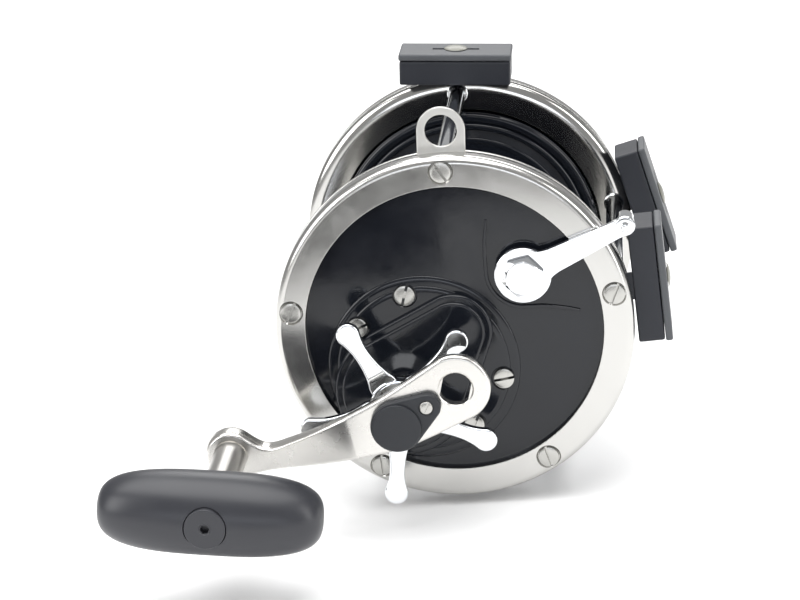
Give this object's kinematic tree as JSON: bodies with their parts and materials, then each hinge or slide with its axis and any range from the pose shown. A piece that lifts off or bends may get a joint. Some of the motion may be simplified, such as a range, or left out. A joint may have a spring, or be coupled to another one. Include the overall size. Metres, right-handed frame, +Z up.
{
  "type": "trolling reel",
  "caption": "Round two-plate trolling reel with a wide spool, star drag, offset crank with a barrel grip, clutch lever, harness lug and a foot.",
  "frame": {"origin": "middle of the reel foot's lower face, which seats on the rod", "axes": "+Y along the spool axis from the handle side to the far side, +Z up from the foot to the spool, +X to the right seen from the handle side"},
  "size_m": [0.237, 0.2529, 0.1755],
  "materials": {
    "polished_steel": "polished stainless steel, faint circular lines",
    "bright_chrome": "bright chrome plate",
    "satin_steel": "satin stainless steel",
    "satin_aluminium": "polished aluminium with soft brushing",
    "black_plate": "glossy black moulded phenolic",
    "black_metal": "glossy black anodised metal",
    "black_plastic": "satin black moulded plastic",
    "grip_rubber": "satin dark grey moulded grip",
    "brass": "cut brass",
    "fibre": "pressed fibre friction washer"
  },
  "bodies": {
    "frame": {"handle_outer_ring": "polished_steel", "handle_inner_ring": "polished_steel", "far_outer_ring": "polished_steel", "far_inner_ring": "polished_steel", "handle_side_plate": "black_plate", "far_side_plate": "black_plate", "bridge_plate": "satin_steel", "reel_foot": "polished_steel", "harness_lug": "satin_steel", "handle_bearing": "satin_steel", "far_bearing": "satin_steel", "bearing_cap": "bright_chrome", "cross_post_1": "bright_chrome", "cross_post_2": "bright_chrome", "cross_post_3": "bright_chrome", "cross_post_4": "bright_chrome", "cross_post_5": "bright_chrome", "handle_ring_screw_1": "polished_steel", "handle_ring_screw_2": "polished_steel", "handle_ring_screw_3": "polished_steel", "handle_ring_screw_4": "polished_steel", "handle_ring_screw_5": "polished_steel", "bridge_screw_1": "polished_steel", "bridge_screw_2": "polished_steel", "bridge_screw_3": "polished_steel", "bridge_screw_4": "polished_steel", "clip_base_1": "black_plastic", "clip_base_2": "black_plastic", "clip_base_3": "black_plastic", "clip_cover_1": "black_plastic", "clip_cover_2": "black_plastic", "clip_cover_3": "black_plastic"},
    "crank": {"gear_sleeve": "satin_steel", "ratchet_wheel": "satin_steel", "drag_plate": "satin_steel", "tension_sleeve": "satin_steel", "arm_spacer": "satin_steel", "crank_arm": "satin_aluminium", "crank_nut": "satin_steel", "nut_cap": "black_plastic", "nut_cap_screw": "polished_steel", "grip_post": "satin_steel"},
    "grip": {"grip": "grip_rubber", "grip_plug": "grip_rubber"},
    "star": {"star_wheel": "bright_chrome"},
    "main_gear": {"main_gear": "brass", "drag_washer": "fibre"},
    "spool": {"spool": "black_metal", "click_gear": "brass"},
    "pinion": {"pinion_gear": "brass"},
    "yoke": {"clutch_yoke": "satin_steel"},
    "lever": {"clutch_lever": "bright_chrome", "lever_bolt": "bright_chrome", "lever_knob": "bright_chrome"},
    "dog": {"anti_reverse_dog": "satin_steel"},
    "click": {"click_button": "bright_chrome", "click_pawl": "satin_steel"},
    "clip_slider_1": {"clip_slider_1": "black_plastic"},
    "clip_slider_2": {"clip_slider_2": "black_plastic"},
    "clip_slider_3": {"clip_slider_3": "black_plastic"}
  },
  "joints": [
    {"name": "crank_turn", "type": "hinge", "parent": "frame", "child": "crank", "pos_m": [-0.0238, -0.07275, 0.0545], "axis": [0, -1, 0], "continuous": true},
    {"name": "grip_spin", "type": "hinge", "parent": "crank", "child": "grip", "pos_m": [-0.096, -0.16075, 0.04], "axis": [0, -1, 0], "continuous": true},
    {"name": "star_drag", "type": "hinge", "parent": "crank", "child": "star", "pos_m": [-0.0238, -0.07275, 0.0545], "axis": [0, -1, 0], "range_deg": [-270, 90]},
    {"name": "main_gear_turn", "type": "hinge", "parent": "frame", "child": "main_gear", "pos_m": [-0.0238, -0.07275, 0.0545], "axis": [0, -1, 0], "continuous": true},
    {"name": "spool_spin", "type": "hinge", "parent": "frame", "child": "spool", "pos_m": [0, 0, 0.08], "axis": [0, -1, 0], "continuous": true},
    {"name": "pinion_slide", "type": "slide", "parent": "spool", "child": "pinion", "axis": [0, -1, 0], "range_m": [0, 0.002]},
    {"name": "yoke_slide", "type": "slide", "parent": "frame", "child": "yoke", "axis": [0, -1, 0], "range_m": [0, 0.002]},
    {"name": "clutch_lever_turn", "type": "hinge", "parent": "frame", "child": "lever", "pos_m": [0.0309, -0.07275, 0.1036], "axis": [0, -1, 0], "range_deg": [0, 56]},
    {"name": "dog_swing", "type": "hinge", "parent": "frame", "child": "dog", "pos_m": [-0.0348, -0.06175, 0.07355], "axis": [0, -1, 0], "range_deg": [-10, 20]},
    {"name": "click_button_slide", "type": "slide", "parent": "frame", "child": "click", "axis": [0.7071, 0, 0.7071], "range_m": [0, 0.006]},
    {"name": "clip_button_1", "type": "slide", "parent": "frame", "child": "clip_slider_1", "axis": [0.0436, 0, -0.999], "range_m": [-0.007, 0.007]},
    {"name": "clip_button_2", "type": "slide", "parent": "frame", "child": "clip_slider_2", "axis": [-0.2419, 0, 0.9703], "range_m": [-0.007, 0.007]},
    {"name": "clip_button_3", "type": "slide", "parent": "frame", "child": "clip_slider_3", "axis": [-0.9973, 0, 0.0732], "range_m": [-0.007, 0.007]}
  ],
  "couplings": [
    {"joint": "main_gear_turn", "follows": "crank_turn", "ratio": 1},
    {"joint": "spool_spin", "follows": "crank_turn", "ratio": -2.125},
    {"joint": "yoke_slide", "follows": "clutch_lever_turn", "m_per_rad": 0.00204},
    {"joint": "pinion_slide", "follows": "clutch_lever_turn", "m_per_rad": 0.00204}
  ]
}
